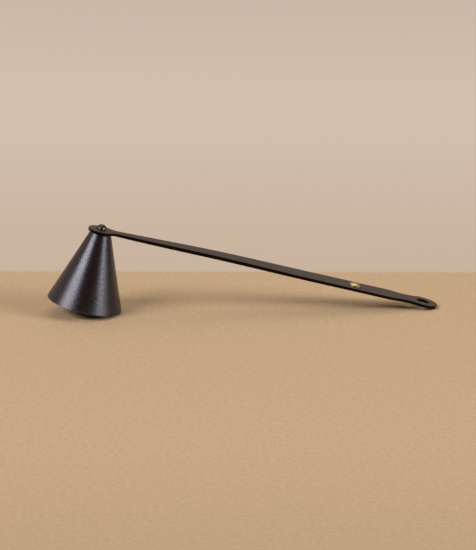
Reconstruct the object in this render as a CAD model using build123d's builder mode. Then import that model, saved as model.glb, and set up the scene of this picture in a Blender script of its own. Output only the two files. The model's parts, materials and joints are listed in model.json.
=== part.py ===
"""Candle snuffer: a spun iron cone riveted under a long forged strap handle, lying at rest on a table."""

from build123d import *
import os
from math import atan2, cos, degrees, radians, sin, sqrt, tan

# Sizes are in millimetres and angles in degrees.
# Places along the handle are measured from the rivet's axis, and heights from the cone's mouth.

# Cone: thin spun sheet, open at the mouth, closed by a flat top
mouth_radius = 26.0
cone_height = 51.5
top_radius = 7.1
cone_wall = 1.0
cone_shoulder_radius = 1.3

# Handle: one forged strap, flat on the cone at its eye, bowed and widening along its length
handle_reach = 237.2
strap_thickness = 2.1
strap_bevel = 0.4
eye_radius = 8.9
root_half_width = 3.3
neck_fillet = 7.0
belly_at = 100.0
belly_half_width = 8.0
shoulder_half_width = 9.7
shoulder_corner = 0.8
waist_radius = 23.0
paddle_radius = 10.1
paddle_join_angle = 67.0
hanging_hole_radius = 4.3
hole_bevel = 0.4

# Bow of the strap: heights of its underside over the cone's top. Past the fall it is straight.
seat_end = 12.0
crown_at = 85.0
crown_rise = 0.4
fall_at = 150.0
fall_drop = 0.7
tip_drop = 1.8

# Cone rivet: round head on the strap, flat-peened tail inside the cone over a washer
shank_radius = 2.0
rivet_head_radius = 3.6
rivet_head_height = 3.4
tail_radius = 3.1
tail_height = 1.4
tail_bevel = 0.7
washer_radius = 4.5
washer_thickness = 0.8

# Brass stud: a low round head on the strap, its tail hammered flush in a countersink below
stud_at = 178.5
stud_radius = 4.3
stud_edge_height = 0.5
stud_height = 1.7
stud_shank_radius = 1.5
stud_tail_radius = 2.3
stud_tail_depth = 0.8

# Fits and overruns
pivot_clearance = 0.05
shank_clearance = 0.03
stud_seat_gap = 0.01
cut_overrun = 1.0

# Resting pose

# The snuffer lies on the rim of its mouth and on the inner edge of the bevel under the handle's tip.
end_fall = (tip_drop - fall_drop) / (handle_reach - fall_at)
tip_touch_x = handle_reach - strap_bevel
tip_touch_z = cone_height - tip_drop + strap_bevel * end_fall
lean = atan2(tip_touch_z, tip_touch_x - mouth_radius)
along_handle = Vector(cos(lean), 0, -sin(lean))
up_the_cone = Vector(sin(lean), 0, cos(lean))

# The origin is on the table, under the middle of the whole length.
far_end = -mouth_radius * cos(lean)
tip_corner_z = cone_height - tip_drop + strap_thickness - strap_bevel
near_end = handle_reach * cos(lean) + tip_corner_z * sin(lean)
mouth_centre = Vector(-(far_end + near_end) / 2, 0, mouth_radius * sin(lean))

# The cone stands upright on the mouth plane, and the handle runs along that plane's X.
mouth_plane = Plane(origin=mouth_centre, x_dir=along_handle, z_dir=up_the_cone)
eye_plane = mouth_plane.offset(cone_height)
cone_axis = Axis(mouth_centre, up_the_cone)
across = Vector(0, -1, 0)
mouth_side = Plane(origin=mouth_centre, x_dir=along_handle, z_dir=across)
eye_side = Plane(origin=eye_plane.origin, x_dir=along_handle, z_dir=across)

# Cone

# On the slant the same wall takes more room across the axis than on the flat top.
flank_angle = atan2(mouth_radius - top_radius, cone_height)
flank_across = cone_wall / cos(flank_angle)
ceiling = cone_height - cone_wall
ceiling_radius = top_radius + cone_wall * tan(flank_angle) - flank_across
pivot_hole_radius = shank_radius + pivot_clearance

with BuildPart() as cone:
    with BuildSketch(mouth_side) as wall_section:
        with BuildLine():
            Polyline(
                (mouth_radius, 0),
                (top_radius, cone_height),
                (pivot_hole_radius, cone_height),
                (pivot_hole_radius, ceiling),
                (ceiling_radius, ceiling),
                (mouth_radius - flank_across, 0),
                close=True,
            )
        make_face()
        top_corner = wall_section.vertices().sort_by_distance((top_radius, cone_height))[0]
        fillet(top_corner, cone_shoulder_radius)
    revolve(axis=cone_axis)

# Handle

# The concave waist runs smoothly into the round paddle, and cuts the widening strap in a corner,
# the shoulder.
paddle_at = handle_reach - paddle_radius
join_angle = radians(paddle_join_angle)
waist_centre_x = paddle_at - (paddle_radius + waist_radius) * cos(join_angle)
waist_centre_y = (paddle_radius + waist_radius) * sin(join_angle)
shoulder_at = waist_centre_x - sqrt(waist_radius**2 - (waist_centre_y - shoulder_half_width) ** 2)
paddle_join = (paddle_at - paddle_radius * cos(join_angle), paddle_radius * sin(join_angle))

# The stud and the paddle lie on the strap's straight end.
end_direction = (handle_reach - fall_at, fall_drop - tip_drop)


def draw_bow(height):
    """Draw the strap's bow from eye to tip, at the given height over its underside."""
    seat = Line((-eye_radius - cut_overrun, height), (seat_end, height))
    bow = Spline(
        (seat_end, height),
        (crown_at, height + crown_rise),
        (fall_at, height - fall_drop),
        tangents=[(1, 0), end_direction],
    )
    straight_end = Line(bow @ 1, bow @ 1 + Vector(end_direction) + bow % 1 * cut_overrun)
    return seat, bow, straight_end


def strap_top(place):
    """The plane on top of the strap's straight end, at a place along the handle."""
    on_top = (place, strap_thickness - fall_drop - (place - fall_at) * end_fall)
    here = eye_side.from_local_coords(on_top)
    beside = eye_side.from_local_coords((on_top[0] + end_direction[0], on_top[1] + end_direction[1]))
    return Plane(origin=here, x_dir=beside - here, z_dir=across.cross(beside - here))


stud_plane = strap_top(stud_at)
paddle_plane = strap_top(paddle_at)


with BuildPart() as handle:
    with BuildSketch(eye_plane) as outline:
        with BuildLine():
            Line((0, 0), (0, root_half_width))
            ThreePointArc(
                (0, root_half_width),
                (belly_at, belly_half_width),
                (shoulder_at, shoulder_half_width),
            )
            RadiusArc((shoulder_at, shoulder_half_width), paddle_join, -waist_radius)
            Line(paddle_join, (paddle_at, 0))
            mirror(about=Plane.XZ)
        make_face()
        with Locations((paddle_at, 0)):
            Circle(paddle_radius)
        Circle(eye_radius)
        neck_corners = outline.vertices().filter_by_position(Axis.X, 0, seat_end)
        fillet(neck_corners, neck_fillet)
        shoulders = outline.vertices().filter_by_position(
            Axis.X, shoulder_at - shoulder_corner, shoulder_at + shoulder_corner
        )
        fillet(shoulders, shoulder_corner)
    extrude(amount=strap_thickness + crown_rise + tip_drop, both=True)
    with BuildSketch(eye_side):
        with BuildLine():
            underside = draw_bow(0)
            top_side = draw_bow(strap_thickness)
            Line(underside[0] @ 0, top_side[0] @ 0)
            Line(underside[-1] @ 1, top_side[-1] @ 1)
        make_face()
    extrude(amount=paddle_radius + cut_overrun, both=True, mode=Mode.INTERSECT)
    outline_edges = handle.edges().filter_by(cone_axis, reverse=True).filter_by(Axis.Y, reverse=True)
    chamfer(outline_edges, strap_bevel)
    with Locations(paddle_plane):
        Hole(hanging_hole_radius)
    chamfer(handle.edges(Select.NEW).filter_by(GeomType.CIRCLE), hole_bevel)
    with Locations(eye_plane):
        Hole(shank_radius + shank_clearance)
    with Locations(Plane(origin=stud_plane.offset(-strap_thickness).origin, z_dir=-stud_plane.z_dir)):
        CounterSinkHole(
            stud_shank_radius + shank_clearance,
            stud_tail_radius + shank_clearance,
            counter_sink_angle=2 * degrees(atan2(stud_tail_radius - stud_shank_radius, stud_tail_depth)),
        )

# Rivets


def draw_dome(edge_height, radius, height):
    """Draw half of a round head: an arc from its crown on the axis out to its edge."""
    dome_radius = (radius**2 + height**2) / (2 * height)
    return RadiusArc((0, edge_height + height), (radius, edge_height), dome_radius)


# Below the strap the shank passes the cone's top and the washer, and its tail is spread against that.
tail_seat = -cone_wall - washer_thickness

with BuildPart() as cone_rivet:
    with BuildSketch(eye_side):
        with BuildLine():
            head = draw_dome(strap_thickness, rivet_head_radius, rivet_head_height)
            Polyline(
                head @ 1,
                (shank_radius, strap_thickness),
                (shank_radius, tail_seat),
                (tail_radius, tail_seat),
                (tail_radius, tail_seat - tail_height + tail_bevel),
                (tail_radius - tail_bevel, tail_seat - tail_height),
                (0, tail_seat - tail_height),
                head @ 0,
            )
        make_face()
    revolve(axis=cone_axis)

with BuildPart() as rivet_washer:
    with BuildSketch(eye_plane.offset(tail_seat)):
        Circle(washer_radius)
        Circle(shank_radius + shank_clearance, mode=Mode.SUBTRACT)
    extrude(amount=washer_thickness)

stud_seat = stud_plane.offset(stud_seat_gap)
stud_side = Plane(origin=stud_seat.origin, x_dir=stud_seat.x_dir, z_dir=across)

with BuildPart() as brass_stud:
    with BuildSketch(stud_side):
        with BuildLine():
            crown = draw_dome(stud_edge_height, stud_radius, stud_height - stud_edge_height)
            Polyline(
                crown @ 1,
                (stud_radius, 0),
                (stud_shank_radius, 0),
                (stud_shank_radius, stud_tail_depth - strap_thickness),
                (stud_tail_radius, -strap_thickness),
                (0, -strap_thickness),
                crown @ 0,
            )
        make_face()
    revolve(axis=Axis(stud_plane.origin, stud_plane.z_dir))

os.makedirs("parts", exist_ok=True)
for name, piece in {
    "cone": cone,
    "handle": handle,
    "cone_rivet": cone_rivet,
    "rivet_washer": rivet_washer,
    "brass_stud": brass_stud,
}.items():
    piece.part.label = name
    export_step(piece.part, f"parts/{name}.step")
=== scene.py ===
import json
import math

import bmesh
import bpy
from mathutils import Matrix, Quaternion, Vector


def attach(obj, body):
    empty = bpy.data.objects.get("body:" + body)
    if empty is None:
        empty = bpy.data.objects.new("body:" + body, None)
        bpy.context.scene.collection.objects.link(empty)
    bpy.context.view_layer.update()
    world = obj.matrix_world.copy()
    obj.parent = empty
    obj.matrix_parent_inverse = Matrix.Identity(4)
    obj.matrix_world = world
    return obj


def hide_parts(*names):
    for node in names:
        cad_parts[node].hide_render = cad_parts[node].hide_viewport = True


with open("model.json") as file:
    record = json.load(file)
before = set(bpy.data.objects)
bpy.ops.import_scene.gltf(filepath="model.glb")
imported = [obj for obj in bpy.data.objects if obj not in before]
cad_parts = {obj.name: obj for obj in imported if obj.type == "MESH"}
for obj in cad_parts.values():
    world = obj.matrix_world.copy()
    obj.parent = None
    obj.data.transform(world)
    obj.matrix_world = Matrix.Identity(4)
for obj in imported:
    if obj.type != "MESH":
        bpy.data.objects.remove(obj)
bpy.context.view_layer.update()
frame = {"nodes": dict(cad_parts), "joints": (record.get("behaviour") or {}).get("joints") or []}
print("frame loaded:", ", ".join(sorted(frame["nodes"])))

# Where the snuffer stands: the cone's axis leans, and the handle runs square to it.
# Every piece is modelled upright, with the mouth's middle at the origin and the handle along X.
swivel = frame["joints"][0]
upTheCone = Vector(swivel["axis"]).normalized()
coneTopMiddle = Vector(swivel["pos_m"])
lean = math.atan2(upTheCone.x, upTheCone.z)

coneValues = {
    "mouthRadius": 0.026,
    "height": 0.0515,
    "topRadius": 0.0071,
    "wall": 0.001,
    "flankHollow": 0.00012,      # how far the spun flank draws in, between top and mouth
    "hollowSkew": 1.5,           # above 1, the hollow is deepest in the upper half
    "shoulderRadius": 0.0013,
    "shoulderSegments": 7,
    "rimRounding": 0.00018,
    "pivotHoleRadius": 0.00205,
    "segments": 144,
    "flankRings": 12,
}
mouthMiddle = coneTopMiddle - upTheCone * coneValues["height"]
tiny = 1e-6                      # lengths below this count as nothing


# Small helpers for modelling

def startFresh():
    if bpy.context.object and bpy.context.object.mode != "OBJECT":
        bpy.ops.object.mode_set(mode="OBJECT")
    bpy.ops.object.select_all(action="DESELECT")


def choose(piece):
    startFresh()
    piece.select_set(True)
    bpy.context.view_layer.objects.active = piece


def pick(kind, test):
    # selects the vertices, edges or faces that pass the test, and nothing else
    bpy.ops.mesh.select_mode(type=kind)
    bpy.ops.mesh.select_all(action="DESELECT")
    mesh = bmesh.from_edit_mesh(bpy.context.object.data)
    mesh.normal_update()
    for part in {"VERT": mesh.verts, "EDGE": mesh.edges, "FACE": mesh.faces}[kind]:
        if test(part):
            part.select_set(True)
    mesh.select_flush_mode()
    bmesh.update_edit_mesh(bpy.context.object.data)


def looksUp(face):
    return face.normal.z > 0.9


def looksDown(face):
    return face.normal.z < -0.9


def ringEdge(radius, height, middle=(0, 0), slack=2e-5):
    # a test for the edges of one ring about an upright axis
    def onRing(edge):
        return all(
            abs(v.co.z - height) < slack
            and abs(math.hypot(v.co.x - middle[0], v.co.y - middle[1]) - radius) < slack
            for v in edge.verts
        )
    return onRing


def extrudeUp(rise):
    bpy.ops.mesh.extrude_region_move(TRANSFORM_OT_translate={"value": (0, 0, rise)})


def widen(share, level):
    # scales what is selected about the upright axis, at its own level
    bpy.ops.transform.resize(value=(share, share, 1), center_override=(0, 0, level))


def roundEdges(width, segments=3):
    bpy.ops.mesh.bevel(offset=width, segments=segments, affect="EDGES", clamp_overlap=False)


def cutAcross(place, direction, **settings):
    bpy.ops.mesh.select_all(action="SELECT")
    bpy.ops.mesh.bisect(plane_co=place, plane_no=direction, threshold=tiny, **settings)


def faceOutwards():
    # on a closed shape the faces all agree, and turn outwards
    bpy.ops.mesh.select_all(action="SELECT")
    bpy.ops.mesh.normals_make_consistent(inside=False)
    if bmesh.from_edit_mesh(bpy.context.object.data).calc_volume(signed=True) < 0:
        bpy.ops.mesh.flip_normals()


def applyModifier(piece, kind, **settings):
    choose(piece)
    modifier = piece.modifiers.new(kind.title(), kind)
    for key, value in settings.items():
        setattr(modifier, key, value)
    bpy.ops.object.modifier_apply(modifier=modifier.name)


def cutWithRod(piece, radius, place, segments=48, depth=0.02):
    startFresh()
    bpy.ops.mesh.primitive_cylinder_add(
        vertices=segments, radius=radius, depth=depth, location=place,
    )
    rod = bpy.context.object
    applyModifier(piece, "BOOLEAN", operation="DIFFERENCE", solver="EXACT", object=rod)
    bpy.data.objects.remove(rod)


def finishPiece(piece, name, body, nodes, smoothAngle=35):
    # leans the upright piece into its resting place and hands it to the frame
    choose(piece)
    piece.name = name
    piece.data.name = name
    piece.rotation_euler = (0, lean, 0)
    piece.location = mouthMiddle
    bpy.ops.object.transform_apply(location=True, rotation=True, scale=True)
    bpy.ops.object.mode_set(mode="EDIT")
    bpy.ops.mesh.select_all(action="SELECT")
    bpy.ops.mesh.remove_doubles(threshold=tiny)
    faceOutwards()
    bpy.ops.object.mode_set(mode="OBJECT")
    bpy.ops.object.shade_smooth_by_angle(angle=math.radians(smoothAngle))
    applyModifier(piece, "WEIGHTED_NORMAL", keep_sharp=True, weight=80)
    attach(piece, body)
    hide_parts(*nodes)
    print("piece", name, "has", len(piece.data.polygons), "faces")


# Cone: thin spun sheet with a flat closed top

def modelCone(values):
    height, mouth, top, wall = (
        values[key] for key in ("height", "mouthRadius", "topRadius", "wall")
    )
    startFresh()
    bpy.ops.mesh.primitive_cone_add(
        vertices=values["segments"], radius1=mouth, radius2=top, depth=height,
        end_fill_type="NGON", location=(0, 0, height / 2),
    )
    piece = bpy.context.object
    bpy.ops.object.transform_apply(location=True)
    bpy.ops.object.mode_set(mode="EDIT")

    # the inside: the mouth's cap is inset by the wall and pushed up to the ceiling
    flankAngle = math.atan2(mouth - top, height)
    across = wall / math.cos(flankAngle)
    ceiling = height - wall
    ceilingRadius = top + wall * math.tan(flankAngle) - across
    pick("FACE", looksDown)
    bpy.ops.mesh.inset(thickness=across, depth=0)
    extrudeUp(ceiling)
    widen(ceilingRadius / (mouth - across), ceiling)

    # both walls draw in a little between the top and the mouth
    count = values["flankRings"]
    for ring in range(1, count):
        cutAcross((0, 0, height * ring / count), (0, 0, 1))
    for ring in range(1, count):
        share = ring / count
        level = height * share
        drawn = values["flankHollow"] * math.sin(math.pi * share ** values["hollowSkew"])
        for foot in (mouth, mouth - across):
            radius = foot + (top - mouth) * share
            pick("VERT", lambda v: abs(v.co.z - level) < tiny
                 and abs(v.co.xy.length - radius) < wall / 4)
            widen(1 - drawn / radius, level)

    # the pivot hole through the flat top: a ring inset in each side of it, and a bridge between
    hole = values["pivotHoleRadius"]
    pick("FACE", lambda f: looksUp(f) and f.calc_center_median().z > height - tiny)
    bpy.ops.mesh.inset(thickness=top - hole, depth=0)
    pick("FACE", lambda f: looksDown(f) and f.calc_center_median().xy.length < tiny
         and f.calc_center_median().z > tiny)
    bpy.ops.mesh.inset(thickness=ceilingRadius - hole, depth=0)
    pick("FACE", lambda f: len(f.verts) > 4 and f.calc_center_median().z > ceiling - tiny)
    bpy.ops.mesh.bridge_edge_loops()

    # rounded shoulder and rim
    turn = math.pi / 2 - flankAngle
    pick("EDGE", ringEdge(top, height))
    roundEdges(values["shoulderRadius"] * math.tan(turn / 2), values["shoulderSegments"])
    for radius in (mouth, mouth - across):
        pick("EDGE", ringEdge(radius, 0))
        roundEdges(values["rimRounding"])
    bpy.ops.object.mode_set(mode="OBJECT")
    return piece


coneShell = modelCone(coneValues)
finishPiece(coneShell, "coneShell", "cone", ["cone"])


# Handle: one forged strap, from the round eye to the drifted paddle

handleValues = {
    "reach": 0.2372,
    "thickness": 0.0021,
    "eyeRadius": 0.0089,
    "rootHalfWidth": 0.0033,
    "neckRadius": 0.007,
    "bellyAt": 0.100,
    "bellyHalfWidth": 0.008,
    "shoulderHalfWidth": 0.0097,
    "shoulderRounding": 0.0003,
    "waistRadius": 0.023,
    "paddleRadius": 0.0101,
    "paddleJoin": math.radians(67),
    "hangingHoleRadius": 0.0043,
    "rivetHoleRadius": 0.00203,
    "studHoleRadius": 0.00153,
    "edgeRounding": 0.0006,      # at the eye; the shares below are of this
    "edgeSegments": 4,
    "bladeTopShare": 0.45,
    "bladeUnderShare": 0.60,     # the tip rests on the table by this edge
    "eyeUnderShare": 0.6,
    "runOutFrom": 0.5,           # in eye radii: here the rounding starts to run out
    "runOutOver": 1.6,           # in lengths from the rivet to the blade
    "runOutSteps": 8,
    "holeRounding": 0.00025,
    "eyeStations": 96,
    "neckStations": 10,
    "bladeStations": 46,
    "waistStations": 14,
    "paddleStations": 26,
    "bow": [(0.012, 0.0), (0.085, 0.0004), (0.150, -0.0007)],
    "bowSlopes": [0.0, -0.00622, -0.012615],
    "swell": 0.0005,             # how much thicker the bar is under the first part of the blade
    "swellSkew": 0.7,            # below 1, the swell is thickest nearer the eye
    "swellEnds": 0.172,
    "bowCuts": 38,
    "latticePoints": 170,
    "studAt": 0.1785,
}


def circleThrough(first, second, third):
    # middle and radius of the circle through three points in the plane
    (x1, y1), (x2, y2), (x3, y3) = first, second, third
    twice = 2 * (x1 * (y2 - y3) + x2 * (y3 - y1) + x3 * (y1 - y2))
    s1, s2, s3 = x1 * x1 + y1 * y1, x2 * x2 + y2 * y2, x3 * x3 + y3 * y3
    middle = Vector((
        (s1 * (y2 - y3) + s2 * (y3 - y1) + s3 * (y1 - y2)) / twice,
        (s1 * (x3 - x2) + s2 * (x1 - x3) + s3 * (x2 - x1)) / twice,
    ))
    return middle, (middle - Vector(first)).length


def arcStations(middle, radius, fromAngle, toAngle, steps):
    return [
        (middle[0] + radius * math.cos(angle), middle[1] + radius * math.sin(angle))
        for angle in (
            fromAngle + (toAngle - fromAngle) * step / steps for step in range(1, steps + 1)
        )
    ]


def outlineHandle(values):
    # places and half widths along the handle: the blade's edge is one long arc,
    # met by the neck's fillet at one end and cut by the waist at the other
    eye, neck, shoulder = (
        values[key] for key in ("eyeRadius", "neckRadius", "shoulderHalfWidth")
    )
    paddle, waist, join = values["paddleRadius"], values["waistRadius"], values["paddleJoin"]
    paddleAt = values["reach"] - paddle
    waistMiddle = Vector((
        paddleAt - (paddle + waist) * math.cos(join), (paddle + waist) * math.sin(join),
    ))
    shoulderAt = waistMiddle.x - math.sqrt(waist ** 2 - (waistMiddle.y - shoulder) ** 2)
    edgeMiddle, edgeRadius = circleThrough(
        (0, values["rootHalfWidth"]),
        (values["bellyAt"], values["bellyHalfWidth"]),
        (shoulderAt, shoulder),
    )

    def bladeEdge(place):
        return edgeMiddle.y + math.sqrt(edgeRadius ** 2 - (place - edgeMiddle.x) ** 2)

    # the fillet touches the eye and the blade's edge, and a dozen rounds settle its middle
    neckMiddle = Vector((eye, neck))
    for attempt in range(12):
        outward = (neckMiddle - edgeMiddle).normalized()
        onEdge = edgeMiddle + outward * edgeRadius
        neckMiddle = Vector((neckMiddle.x, (onEdge + outward * neck).y))
        neckMiddle.x = math.sqrt((eye + neck) ** 2 - neckMiddle.y ** 2)
    eyeLeaves = math.atan2(neckMiddle.y, neckMiddle.x)
    bladeStarts = (edgeMiddle + (neckMiddle - edgeMiddle).normalized() * edgeRadius).x
    fromEye = eyeLeaves - math.pi
    toBlade = math.atan2(bladeEdge(bladeStarts) - neckMiddle.y, bladeStarts - neckMiddle.x)
    joinPoint = Vector((paddleAt - paddle * math.cos(join), paddle * math.sin(join)))
    intoWaist = math.atan2(shoulder - waistMiddle.y, shoulderAt - waistMiddle.x)
    outOfWaist = math.atan2(joinPoint.y - waistMiddle.y, joinPoint.x - waistMiddle.x)

    count = values["bladeStations"]
    bladePlaces = (
        bladeStarts + (shoulderAt - bladeStarts) * step / count for step in range(1, count + 1)
    )
    stations = [(eye * math.cos(eyeLeaves), eye * math.sin(eyeLeaves))]
    stations += arcStations(neckMiddle, neck, fromEye, toBlade, values["neckStations"])
    stations += [(place, bladeEdge(place)) for place in bladePlaces]
    stations += arcStations(waistMiddle, waist, intoWaist, outOfWaist, values["waistStations"])
    stations += arcStations((paddleAt, 0), paddle, math.pi - join, 0, values["paddleStations"])
    return stations, eyeLeaves, bladeStarts, shoulderAt


def bowAt(place, values):
    # height of the strap's bow over the eye, at a place along the handle
    knots, slopes = values["bow"], values["bowSlopes"]
    if place <= knots[0][0]:
        return 0.0
    for (x1, z1), (x2, z2), m1, m2 in zip(knots, knots[1:], slopes, slopes[1:]):
        if place <= x2:
            span = x2 - x1
            t = (place - x1) / span
            return (
                z1 * (1 + 2 * t) * (1 - t) ** 2 + z2 * t * t * (3 - 2 * t)
                + span * (m1 * t * (1 - t) ** 2 + m2 * t * t * (t - 1))
            )
    return knots[-1][1] + slopes[-1] * (place - knots[-1][0])


def swellAt(place, values):
    # how far the underside hangs below the even thickness, at a place along the handle
    starts = values["bow"][0][0]
    share = (place - starts) / (values["swellEnds"] - starts)
    if not 0 < share < 1:
        return 0.0
    return values["swell"] * math.sin(math.pi * share ** values["swellSkew"])


def easeOutline(piece, values, seat, bladeStarts):
    # the edges are hammered round at the eye, and run out to a crisper edge along the blade
    steps = values["runOutSteps"]
    starts = values["eyeRadius"] * values["runOutFrom"]
    length = bladeStarts * values["runOutOver"]
    for level, blade, eye in (
        (seat + values["thickness"], values["bladeTopShare"], 1.0),
        (seat, values["bladeUnderShare"], values["eyeUnderShare"]),
    ):
        for step in range(steps + 1):
            low = -1 if step == 0 else starts + length * (step - 1) / steps
            high = 1 if step == steps else starts + length * step / steps
            share = eye + (blade - eye) * (0.5 - 0.5 * math.cos(math.pi * step / steps))
            pick("EDGE", lambda e: all(abs(v.co.z - level) < tiny for v in e.verts)
                 and low <= (e.verts[0].co.x + e.verts[1].co.x) / 2 < high)
            bpy.ops.transform.edge_bevelweight(value=share)
    bpy.ops.object.mode_set(mode="OBJECT")
    applyModifier(
        piece, "BEVEL", width=values["edgeRounding"], segments=values["edgeSegments"],
        limit_method="WEIGHT", use_clamp_overlap=False,
    )
    bpy.ops.object.mode_set(mode="EDIT")


def bowStrap(piece, values, seat):
    # a lattice along the strap gives the bow and the swell
    thickness = values["thickness"]
    length = values["reach"] + values["eyeRadius"]
    startFresh()
    bpy.ops.object.add(
        type="LATTICE", location=(values["reach"] - length / 2, 0, seat + thickness / 2),
    )
    lattice = bpy.context.object
    lattice.scale = (length, values["paddleRadius"] * 2.2, thickness * 2)
    lattice.data.points_u = values["latticePoints"]
    lattice.data.points_v = 2
    lattice.data.points_w = 2
    for axis in ("u", "v", "w"):
        setattr(lattice.data, "interpolation_type_" + axis, "KEY_LINEAR")
    for point in lattice.data.points:
        place = lattice.location.x + point.co.x * lattice.scale.x
        # it is twice as tall as the strap is thick, and these shares lower the underside alone
        lower = swellAt(place, values) * (-0.5 if point.co.z > 0 else 1.5)
        point.co_deform.z += (bowAt(place, values) - lower) / lattice.scale.z
    bpy.context.view_layer.update()
    applyModifier(piece, "LATTICE", object=lattice)
    bpy.data.objects.remove(lattice)


def modelHandle(values, seat):
    eye, thickness = values["eyeRadius"], values["thickness"]
    paddleAt = values["reach"] - values["paddleRadius"]
    stations, eyeLeaves, bladeStarts, shoulderAt = outlineHandle(values)

    # the eye's circle is opened towards the blade, and both its ends are drawn out along the edges
    startFresh()
    bpy.ops.mesh.primitive_circle_add(
        vertices=values["eyeStations"], radius=eye, fill_type="NOTHING", location=(0, 0, seat),
    )
    piece = bpy.context.object
    bpy.ops.object.transform_apply(location=True)
    bpy.ops.object.mode_set(mode="EDIT")
    opening = eye * math.cos(eyeLeaves + math.radians(2))
    pick("VERT", lambda v: v.co.x > opening)
    bpy.ops.mesh.delete(type="VERT")
    pick("VERT", lambda v: len(v.link_edges) == 1)
    mesh = bmesh.from_edit_mesh(piece.data)
    reached, halfWidth = next((v.co.x, abs(v.co.y)) for v in mesh.verts if v.select)
    for place, wide in stations:
        bpy.ops.mesh.extrude_vertices_move(
            TRANSFORM_OT_translate={"value": (place - reached, 0, 0)},
        )
        bpy.ops.transform.resize(value=(1, wide / halfWidth, 1), center_override=(0, 0, seat))
        reached, halfWidth = place, max(wide, tiny)
    bpy.ops.mesh.select_all(action="SELECT")
    bpy.ops.mesh.remove_doubles(threshold=tiny * 10)
    bpy.ops.mesh.edge_face_add()
    extrudeUp(thickness)
    faceOutwards()

    # the shoulders keep a small round, then both outlines are eased as by the hammer
    pick("EDGE", lambda e: abs(e.verts[0].co.z - e.verts[1].co.z) > thickness / 2
         and abs(e.verts[0].co.x - shoulderAt) < tiny * 5)
    roundEdges(values["shoulderRounding"])
    easeOutline(piece, values, seat, bladeStarts)

    # cuts across the blade let it bow and swell
    first, last, cuts = values["bow"][0][0], values["swellEnds"], values["bowCuts"]
    bpy.ops.mesh.select_mode(type="FACE")
    for cut in range(cuts):
        cutAcross((first + (last - first) * cut / (cuts - 1), 0, 0), (1, 0, 0))
    bpy.ops.object.mode_set(mode="OBJECT")

    # holes for hanging, for the rivet and for the stud
    cutWithRod(piece, values["hangingHoleRadius"], (paddleAt, 0, seat), segments=64)
    cutWithRod(piece, values["rivetHoleRadius"], (0, 0, seat))
    cutWithRod(piece, values["studHoleRadius"], (values["studAt"], 0, seat))
    choose(piece)
    bpy.ops.object.mode_set(mode="EDIT")
    for level in (seat, seat + thickness):
        pick("EDGE", ringEdge(values["hangingHoleRadius"], level, (paddleAt, 0)))
        roundEdges(values["holeRounding"])
    bpy.ops.object.mode_set(mode="OBJECT")
    bowStrap(piece, values, seat)
    return piece


handleStrap = modelHandle(handleValues, coneValues["height"])
finishPiece(handleStrap, "handleStrap", "handle", ["handle"])


# Rivets: a domed head, its shank below, and the tail

rivetValues = {
    "headRadius": 0.0036,
    "headHeight": 0.0034,
    "headEdge": 0.0,
    "headRounding": 0.00012,
    "shankRadius": 0.002,
    "shankLength": 0.0021 + 0.001 + 0.0008,    # through the strap, the cone's top and the washer
    "tailRadius": 0.0031,
    "tailHeight": 0.0014,
    "tailRounding": 0.0006,
    "segments": 64,
    "rings": 64,
}
studValues = {
    "headRadius": 0.0043,
    "headHeight": 0.0012,
    "headEdge": 0.0005,
    "headRounding": 0.0002,
    "shankRadius": 0.0015,
    "shankLength": 0.0021,
    "seatGap": 0.00001,
    "segments": 64,
    "rings": 64,
}
rivetSmoothAngle = 50


def modelDomedHead(values):
    # the head stands on the ground plane, and its shank goes down from it
    radius, height, edge, shank = (
        values[key] for key in ("headRadius", "headHeight", "headEdge", "shankRadius")
    )
    ballRadius = (radius ** 2 + height ** 2) / (2 * height)
    startFresh()
    bpy.ops.mesh.primitive_uv_sphere_add(
        segments=values["segments"], ring_count=values["rings"], radius=ballRadius,
        location=(0, 0, edge + height - ballRadius),
    )
    piece = bpy.context.object
    bpy.ops.object.transform_apply(location=True)
    bpy.ops.object.mode_set(mode="EDIT")
    cutAcross((0, 0, edge), (0, 0, 1), use_fill=True, clear_inner=True)
    pick("FACE", looksDown)
    if edge > 0:
        extrudeUp(-edge)
    bpy.ops.mesh.inset(thickness=radius - shank, depth=0)
    extrudeUp(-values["shankLength"])
    pick("EDGE", ringEdge(radius, edge))
    roundEdges(values["headRounding"])
    return piece


def modelConeRivet(values, seat):
    piece = modelDomedHead(values)
    # the tail is spread against the washer
    end = -values["shankLength"]
    pick("FACE", lambda f: looksDown(f) and f.calc_center_median().z < end + tiny)
    extrudeUp(0)
    widen(values["tailRadius"] / values["shankRadius"], end)
    extrudeUp(-values["tailHeight"])
    pick("EDGE", ringEdge(values["tailRadius"], end - values["tailHeight"]))
    roundEdges(values["tailRounding"], segments=4)
    bpy.ops.object.mode_set(mode="OBJECT")
    piece.location.z = seat
    bpy.ops.object.transform_apply(location=True)
    return piece


coneRivet = modelConeRivet(rivetValues, coneValues["height"] + handleValues["thickness"])
finishPiece(
    coneRivet, "coneRivet", "handle", ["cone_rivet"], smoothAngle=rivetSmoothAngle,
)


def studPlace(strap, seat):
    # where the stud stands on the strap's top, and how far it falls with the strap there
    place = strap["studAt"]
    onTop = Vector((place, 0, seat + strap["thickness"] + bowAt(place, strap)))
    return onTop, math.atan(-strap["bowSlopes"][-1])


def modelStud(values, strap, seat):
    piece = modelDomedHead(values)
    bpy.ops.object.mode_set(mode="OBJECT")
    onTop, fall = studPlace(strap, seat)
    piece.rotation_euler = (0, fall, 0)
    piece.location = onTop + Vector((0, 0, values["seatGap"]))
    bpy.ops.object.transform_apply(location=True, rotation=True)
    return piece


brassStud = modelStud(studValues, handleValues, coneValues["height"])
finishPiece(
    brassStud, "brassStud", "handle", ["brass_stud"], smoothAngle=rivetSmoothAngle,
)


# Materials

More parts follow.
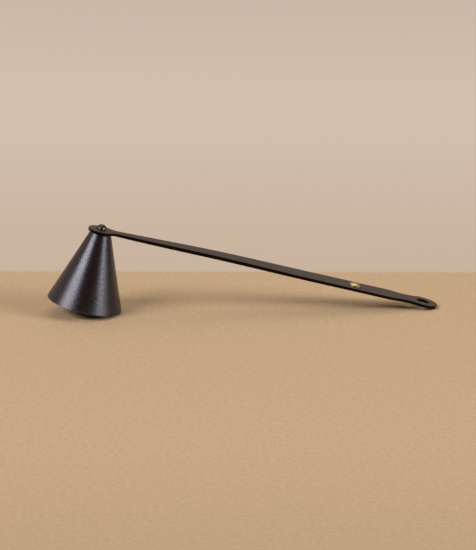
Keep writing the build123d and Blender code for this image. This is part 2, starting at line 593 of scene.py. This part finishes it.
class Wire:
    # a socket that can stand in a sum
    def __init__(self, bench, socket):
        self.bench = bench
        self.socket = socket

    def calculate(self, operation, first, second):
        return self.bench.node("ShaderNodeMath", {"operation": operation}, {0: first, 1: second})

    def __add__(self, other):
        return self.calculate("ADD", self, other)

    def __radd__(self, other):
        return self.calculate("ADD", other, self)

    def __sub__(self, other):
        return self.calculate("SUBTRACT", self, other)

    def __rsub__(self, other):
        return self.calculate("SUBTRACT", other, self)

    def __mul__(self, other):
        return self.calculate("MULTIPLY", self, other)

    def __rmul__(self, other):
        return self.calculate("MULTIPLY", other, self)

    def __pow__(self, other):
        return self.calculate("POWER", self, other)


class Bench:
    # makes the nodes of one material, or of the world
    def __init__(self, owner):
        owner.use_nodes = True
        self.owner = owner
        self.tree = owner.node_tree
        self.tree.nodes.clear()

    def node(self, kind, settings=None, sockets=None, output=0):
        made = self.tree.nodes.new(kind)
        for key, value in (settings or {}).items():
            setattr(made, key, value)
        for key, value in (sockets or {}).items():
            if isinstance(value, Wire):
                self.tree.links.new(value.socket, made.inputs[key])
            else:
                made.inputs[key].default_value = value
        return Wire(self, made.outputs[output]) if made.outputs else None

    def objectPlace(self, origin=(0, 0, 0), turn=(0, 0, 0), stretch=(1, 1, 1)):
        # Object coordinates, seen from the piece's own upright frame
        coordinates = self.node("ShaderNodeTexCoord", output="Object")
        upright = self.node("ShaderNodeMapping", {"vector_type": "TEXTURE"},
                            {"Vector": coordinates, "Location": origin, "Rotation": turn})
        return self.node("ShaderNodeMapping", {"vector_type": "POINT"},
                         {"Vector": upright, "Scale": stretch})

    def split(self, vector):
        first = self.node("ShaderNodeSeparateXYZ", {}, {0: vector})
        return [Wire(self, socket) for socket in first.socket.node.outputs]

    def fromAxis(self, place):
        # distance from the upright axis
        x, y, z = self.split(place)
        return (x * x + y * y) ** 0.5

    def noise(self, place, size, detail, roughness):
        return self.node("ShaderNodeTexNoise", {}, {
            "Vector": place, "Scale": size, "Detail": detail, "Roughness": roughness,
        })

    def ease(self, value, low, high, toLow=0.0, toHigh=1.0):
        # a smooth step from low to high
        return self.node("ShaderNodeMapRange", {"interpolation_type": "SMOOTHSTEP"}, {
            "Value": value, "From Min": low, "From Max": high, "To Min": toLow, "To Max": toHigh,
        })

    def blend(self, mask, first, second):
        first = first if isinstance(first, Wire) else (*first, 1)
        second = second if isinstance(second, Wire) else (*second, 1)
        return self.node(
            "ShaderNodeMix", {"data_type": "RGBA"}, {0: mask, 6: first, 7: second}, output=2,
        )

    def bump(self, height):
        # the height is in metres
        return self.node("ShaderNodeBump", {}, {"Height": height, "Distance": 1.0, "Strength": 1.0})

    def finish(self, **sockets):
        shader = self.node("ShaderNodeBsdfPrincipled", {}, {
            key.replace("_", " "): value for key, value in sockets.items()
        })
        self.node("ShaderNodeOutputMaterial", {}, {"Surface": shader})
        return self.owner


def dress(piece, material):
    piece.data.materials.clear()
    piece.data.materials.append(material)


# Spun iron: satin blackened skin, warm in the shade, with turning lines and a fine mottle; a
# painted bluish lamp tint sits on its reflections.
# Noise sizes are in features per metre, and heights in metres.
spunIronValues = {
    "warmBlack": (0.0072, 0.0020, 0.0008),
    "coolBlack": (0.0056, 0.0020, 0.0014),
    "worn": (0.060, 0.052, 0.052),
    "soot": (0.004, 0.0036, 0.0034),
    # painted light: a bluish tint on the reflections that stands for the lamps' colour
    "paintedLampTint": (0.87, 0.87, 1.00),
    "index": 1.52,
    "roughness": 0.29,
    "mottleSize": 820,
    "mottleHeight": 0.000086,
    "mottleLessAtTop": 0.000034,
    "speckleSize": 1300,
    "grainSize": 3200,
    "grainHeight": 0.000009,
    "cloudSize": 110,
    "ringSize": 1500,
    "ringSlant": 0.02,           # the turning lines follow the height, and hardly the radius
    "ringHeight": 0.000050,
    "wornHeight": 0.0011,        # the rim is rubbed bright below this
    "scuffedHeight": 0.010,      # and scuffed below this
}


def makeSpunIron(values, cone):
    bench = Bench(bpy.data.materials.new("spunIron"))
    place = bench.objectPlace(mouthMiddle, (0, lean, 0))
    z = bench.split(place)[2]
    radius = bench.fromAxis(place)
    slope = (cone["mouthRadius"] - cone["topRadius"]) / cone["height"]
    flank = cone["mouthRadius"] - z * slope
    inside = bench.ease(flank - radius, 0.45 * cone["wall"], 0.7 * cone["wall"])

    mottle = bench.noise(place, values["mottleSize"], 4, 0.62)
    grain = bench.noise(place, values["grainSize"], 2, 0.6)
    clouds = bench.noise(place, values["cloudSize"], 3, 0.55)
    ringPlace = bench.node("ShaderNodeCombineXYZ", {}, {0: radius * values["ringSlant"], 2: z})
    rings = bench.noise(ringPlace, values["ringSize"], 3, 0.7)
    nearTop = bench.ease(z, 0.3 * cone["height"], 0.9 * cone["height"], 0.25, 1.0)
    nearRim = bench.ease(z, values["scuffedHeight"], 0.001)
    ringBite = (rings - 0.5) * (nearTop + nearRim * 0.7)

    rimWear = bench.ease(z, values["wornHeight"], 0.0001) * bench.ease(mottle, 0.42, 0.62)
    topWear = bench.ease(z, cone["height"] - 0.0012, cone["height"] - 0.0004)
    topWear = topWear * bench.ease(mottle, 0.45, 0.65)
    flecks = bench.ease(mottle, 0.70, 0.76)
    speckle = bench.ease(bench.noise(place, values["speckleSize"], 2, 0.6), 0.50, 0.68)
    scuffs = nearRim * bench.ease(rings, 0.50, 0.72) * bench.ease(mottle, 0.40, 0.60)
    wear = rimWear * 0.6 + topWear * 0.5 + flecks * 0.35 + scuffs * 0.25 + speckle * 0.26

    colour = bench.blend(
        bench.ease(clouds, 0.35, 0.65), values["warmBlack"], values["coolBlack"],
    )
    colour = bench.blend(wear, colour, values["worn"])
    colour = bench.blend(inside * 0.85, colour, values["soot"])
    roughness = (
        values["roughness"] + (mottle - 0.5) * 0.17 + (clouds - 0.5) * 0.12 + ringBite * 0.10
        - wear * 0.06 + inside * 0.3 + nearRim * 0.03
    )
    height = (
        mottle * (values["mottleHeight"] - nearTop * values["mottleLessAtTop"])
        + grain * values["grainHeight"] + ringBite * values["ringHeight"]
    )
    # the specular tint paints the lamps' bluish colour into the reflections
    return bench.finish(
        Base_Color=colour, Roughness=roughness, Normal=bench.bump(height),
        IOR=values["index"], Specular_Tint=(*values["paintedLampTint"], 1),
    )


dress(coneShell, makeSpunIron(spunIronValues, coneValues))


# Forged iron: darker scale from the fire, speckled and eased by handling along the edges, with
# painted shade on the strap's sides
forgedIronValues = {
    "scaleBlack": (0.0055, 0.0030, 0.0028),
    "warmBlack": (0.0085, 0.0038, 0.0024),
    "worn": (0.050, 0.043, 0.042),
    # painted shade for the strap's sides, used with the metal setting below
    "paintedSideShade": (0.0110, 0.0045, 0.0020),
    "eyeBlack": (0.0080, 0.0042, 0.0032),
    "index": 1.5,
    "roughness": 0.36,
    "sideRoughness": 0.27,
    "eyeRoughness": 0.34,
    "rivetRoughness": 0.28,
    "drawnOut": (0.35, 1, 1),    # the hammer's marks run along the strap
    "blowSize": 170,
    "blowHeight": 0.00012,
    "eyeBlowHeight": 0.00013,    # more than this at the eye
    "scaleSize": 900,
    "scaleHeight": 0.000105,
    "speckleSize": 1100,
    "grainSize": 3000,
    "grainHeight": 0.000008,
    "cloudSize": 75,
}


def makeForgedIron(name, values, roughness, strap):
    # strap is 1 for the strap, whose sides carry painted shade and whose eye is darker, and 0 for
    # the rivet
    bench = Bench(bpy.data.materials.new(name))
    place = bench.objectPlace(coneTopMiddle, (0, lean, 0))
    alongStrap = bench.objectPlace(coneTopMiddle, (0, lean, 0), values["drawnOut"])
    blows = bench.noise(alongStrap, values["blowSize"], 1, 0.4)
    scale = bench.noise(place, values["scaleSize"], 4, 0.6)
    grain = bench.noise(place, values["grainSize"], 2, 0.6)
    clouds = bench.noise(alongStrap, values["cloudSize"], 3, 0.5)

    # tops face up the cone, sides square to it; the sides get painted shade
    normal = bench.node("ShaderNodeTexCoord", output="Normal")
    facing = bench.node("ShaderNodeVectorMath", {"operation": "DOT_PRODUCT"},
                        {0: normal, 1: tuple(upTheCone)}, output="Value")
    facing = facing * facing
    # this mask carries the painted shade on the strap's sides
    side = bench.ease(facing, 0.6, 0.1) * strap
    atEye = bench.ease(bench.fromAxis(place), 0.026, 0.008) * strap
    edge = bench.ease(facing * (1 - facing) * 4, 0.55, 0.95) * bench.ease(scale, 0.40, 0.64)
    flecks = bench.ease(scale, 0.71, 0.77)
    speckle = bench.ease(bench.noise(place, values["speckleSize"], 2, 0.6), 0.50, 0.68)
    wear = edge * 0.16 * (1 - side * 0.8) + (flecks * 0.3 + speckle * 0.40) * (1 - side)

    colour = bench.blend(
        bench.ease(clouds, 0.35, 0.65), values["scaleBlack"], values["warmBlack"],
    )
    colour = bench.blend(atEye, colour, values["eyeBlack"])
    colour = bench.blend(side, colour, values["paintedSideShade"])
    colour = bench.blend(wear, colour, values["worn"])
    rough = roughness + (scale - 0.5) * 0.2 + (clouds - 0.5) * 0.12 - wear * 0.08
    rough = rough + atEye * (values["eyeRoughness"] - roughness)
    rough = rough + side * (1 - atEye) * (values["sideRoughness"] - roughness)
    height = (
        blows * (values["blowHeight"] + atEye * values["eyeBlowHeight"])
        + scale * values["scaleHeight"] + grain * values["grainHeight"]
    )
    # painted shade: the metal setting on the strap's sides dims their reflections
    return bench.finish(
        Base_Color=colour, Roughness=rough, Normal=bench.bump(height), IOR=values["index"],
        Metallic=side * 0.92,
    )


dress(handleStrap, makeForgedIron(
    "forgedIron", forgedIronValues, forgedIronValues["roughness"], 1.0,
))
rivetIron = makeForgedIron(
    "rivetIron", forgedIronValues, forgedIronValues["rivetRoughness"], 0.0,
)
dress(coneRivet, rivetIron)
for materialSlot in frame["nodes"]["rivet_washer"].material_slots:
    materialSlot.material = rivetIron


# Brass: handled stud, bright on its crown and browned round its edge
brassValues = {
    "bright": (0.68, 0.54, 0.28),
    "browned": (0.20, 0.13, 0.05),
    "roughness": 0.22,
    "spotSize": 1400,
    "spotHeight": 0.000010,
    "cloudSize": 420,
    "cloudHeight": 0.000160,
    "scratchSize": 5200,
    "scratchTurn": (0.3, lean, 0.6),
    "scratchStretch": (0.15, 1, 1),
    "scratchHeight": 0.000004,
}


def makeBrass(values, stud, strap, seat):
    bench = Bench(bpy.data.materials.new("wornBrass"))
    onTop, fall = studPlace(strap, seat)
    middle = mouthMiddle + Matrix.Rotation(lean, 4, "Y") @ onTop
    place = bench.objectPlace(middle, (0, lean + fall, 0))
    spots = bench.noise(place, values["spotSize"], 3, 0.6)
    clouds = bench.noise(place, values["cloudSize"], 2, 0.5)
    edge = bench.ease(bench.fromAxis(place), 0.62 * stud["headRadius"], stud["headRadius"])
    tarnish = (
        edge * 0.7 + bench.ease(clouds, 0.45, 0.7) * 0.3 + bench.ease(spots, 0.62, 0.72) * 0.3
    )
    scratchPlace = bench.objectPlace(
        coneTopMiddle, values["scratchTurn"], values["scratchStretch"],
    )
    scratches = bench.noise(scratchPlace, values["scratchSize"], 2, 0.6)
    height = (
        scratches * values["scratchHeight"] + spots * values["spotHeight"]
        + clouds * values["cloudHeight"]
    )
    return bench.finish(
        Base_Color=bench.blend(tarnish, values["bright"], values["browned"]),
        Roughness=values["roughness"] + tarnish * 0.18 + (spots - 0.5) * 0.12,
        Normal=bench.bump(height), Metallic=1.0,
    )


dress(brassStud, makeBrass(brassValues, studValues, handleValues, coneValues["height"]))
print("materials are on")


# Camera: the photograph's place and lens

cameraValues = {
    "place": (-0.0971282, -1.6473498, 0.4778740),
    "looksAt": (0.0015697, 0.0893825, 0.0),
    "lens": 163.636,
    "sensor": 36.0,
    "roll": math.radians(0.13),
    "farthest": 60,
}
startFresh()
bpy.ops.object.camera_add(location=cameraValues["place"])
camera = bpy.context.object
camera.data.lens = cameraValues["lens"]
camera.data.sensor_width = cameraValues["sensor"]
camera.data.clip_end = cameraValues["farthest"]
lookLine = Vector(cameraValues["looksAt"]) - Vector(cameraValues["place"])
camera.rotation_euler = (
    lookLine.to_track_quat("-Z", "Y") @ Quaternion((0, 0, 1), cameraValues["roll"])
).to_euler()
bpy.context.scene.camera = camera


# Floor: a sheet of tan paper that ends just behind the snuffer, on a paler ground; painted shade
# darkens the paper towards the viewer, and painted light brightens the ground far away

floorValues = {
    "size": 24.0,
    "paper": (0.457, 0.325, 0.190),
    "fibre": (0.24, 0.16, 0.09),
    "fibreShare": 0.28,
    "fibreSize": 340,
    "paintedFrontShade": 0.87,          # painted shade: the paper darkens towards the viewer
    "frontFrom": -0.50,
    "frontTo": -0.25,
    # painted light: the ground beyond the paper is lighter the farther away it lies
    "groundNear": (0.452, 0.367, 0.285),
    "groundFar": (0.546, 0.466, 0.389),
    "farFrom": 0.05,
    "farTo": 0.75,
    "paperEnd": 0.0985,
    "paperEndSoftness": 0.004,
    "paperTurn": math.radians(-3.2526),
}


def makeFloor(values):
    bench = Bench(bpy.data.materials.new("paperFloor"))
    back = bench.split(bench.objectPlace((0, 0, 0), (0, 0, values["paperTurn"])))[1]
    end, soft = values["paperEnd"], values["paperEndSoftness"]
    beyond = bench.ease(back, end - soft, end + soft)
    fibre = bench.noise(bench.objectPlace(), values["fibreSize"], 3, 0.7)
    # painted shade: a darker copy of the paper towards the viewer
    front = tuple(values["paintedFrontShade"] * c for c in values["paper"])
    paper = bench.blend(
        bench.ease(back, values["frontFrom"], values["frontTo"]), front, values["paper"],
    )
    paper = bench.blend(
        bench.ease(fibre, 0.7, 0.3) * values["fibreShare"], paper, values["fibre"],
    )
    # painted light: the ground brightens with distance from the paper's end
    ground = bench.blend(
        bench.ease(back, values["farFrom"], values["farTo"]),
        values["groundNear"], values["groundFar"],
    )
    return bench.finish(
        Base_Color=bench.blend(beyond, paper, ground), Roughness=0.9, Specular_IOR_Level=0.2,
    )


startFresh()
bpy.ops.mesh.primitive_plane_add(size=floorValues["size"], location=(0, 0, 0))
floor = bpy.context.object
floor.name = "paperFloor"
dress(floor, makeFloor(floorValues))


# Light: a softbox in front on each side, and a room that is dim in front and brighter behind,
# beside and above. Bearings are from the viewer's side, and heights are angles over the floor.

lightValues = {
    "left": {"bearing": -58.5, "height": 37, "distance": 6.0, "width": 3.7, "tall": 1.8,
             "radiance": 15.0, "tint": (1.02, 0.99, 1.03)},
    "right": {"bearing": 64, "height": 21, "distance": 6.0, "width": 3.2, "tall": 1.8,
              "radiance": 17.4, "tint": (1.03, 1.02, 1.01)},
    "aim": (-0.09, 0.0, 0.03),
    "room": (0.028, 0.024, 0.022),
    "behind": (0.37, 0.275, 0.215),
    "beside": (0.56, 0.45, 0.38),
    "above": (1.50, 1.38, 1.27),
}


def addSoftbox(name, values, aim):
    bearing, height = math.radians(values["bearing"]), math.radians(values["height"])
    away = Vector((
        math.sin(bearing) * math.cos(height),
        -math.cos(bearing) * math.cos(height),
        math.sin(height),
    ))
    startFresh()
    bpy.ops.object.light_add(type="AREA", location=Vector(aim) + away * values["distance"])
    lamp = bpy.context.object
    lamp.name = name
    lamp.data.shape = "RECTANGLE"
    lamp.data.size = values["width"]
    lamp.data.size_y = values["tall"]
    lamp.data.energy = values["radiance"] * math.pi * values["width"] * values["tall"]
    lamp.data.color = values["tint"]
    lamp.rotation_euler = (-away).to_track_quat("-Z", "Y").to_euler()
    lamp.visible_camera = False


def makeRoom(values):
    # a studio's room: each patch is blended in by how nearly a direction points at it
    world = bpy.data.worlds.new("studioRoom")
    bpy.context.scene.world = world
    bench = Bench(world)
    across, back, up = bench.split(bench.node("ShaderNodeTexCoord", output="Generated"))
    colour = bench.blend(bench.ease(back, 0.1, 0.75), values["room"], values["behind"])
    colour = bench.blend(bench.ease(back * 0.25 - across, 0.50, 0.95), colour, values["beside"])
    colour = bench.blend(bench.ease(back * 0.4 + up * 0.917, 0.72, 0.98), colour, values["above"])
    light = bench.node("ShaderNodeBackground", {}, {"Color": colour, "Strength": 1.0})
    bench.node("ShaderNodeOutputWorld", {}, {"Surface": light})


addSoftbox("leftSoftbox", lightValues["left"], lightValues["aim"])
addSoftbox("rightSoftbox", lightValues["right"], lightValues["aim"])
makeRoom(lightValues)
bpy.context.scene.view_settings.view_transform = "Standard"
print("camera, floor and light are set")

startFresh()
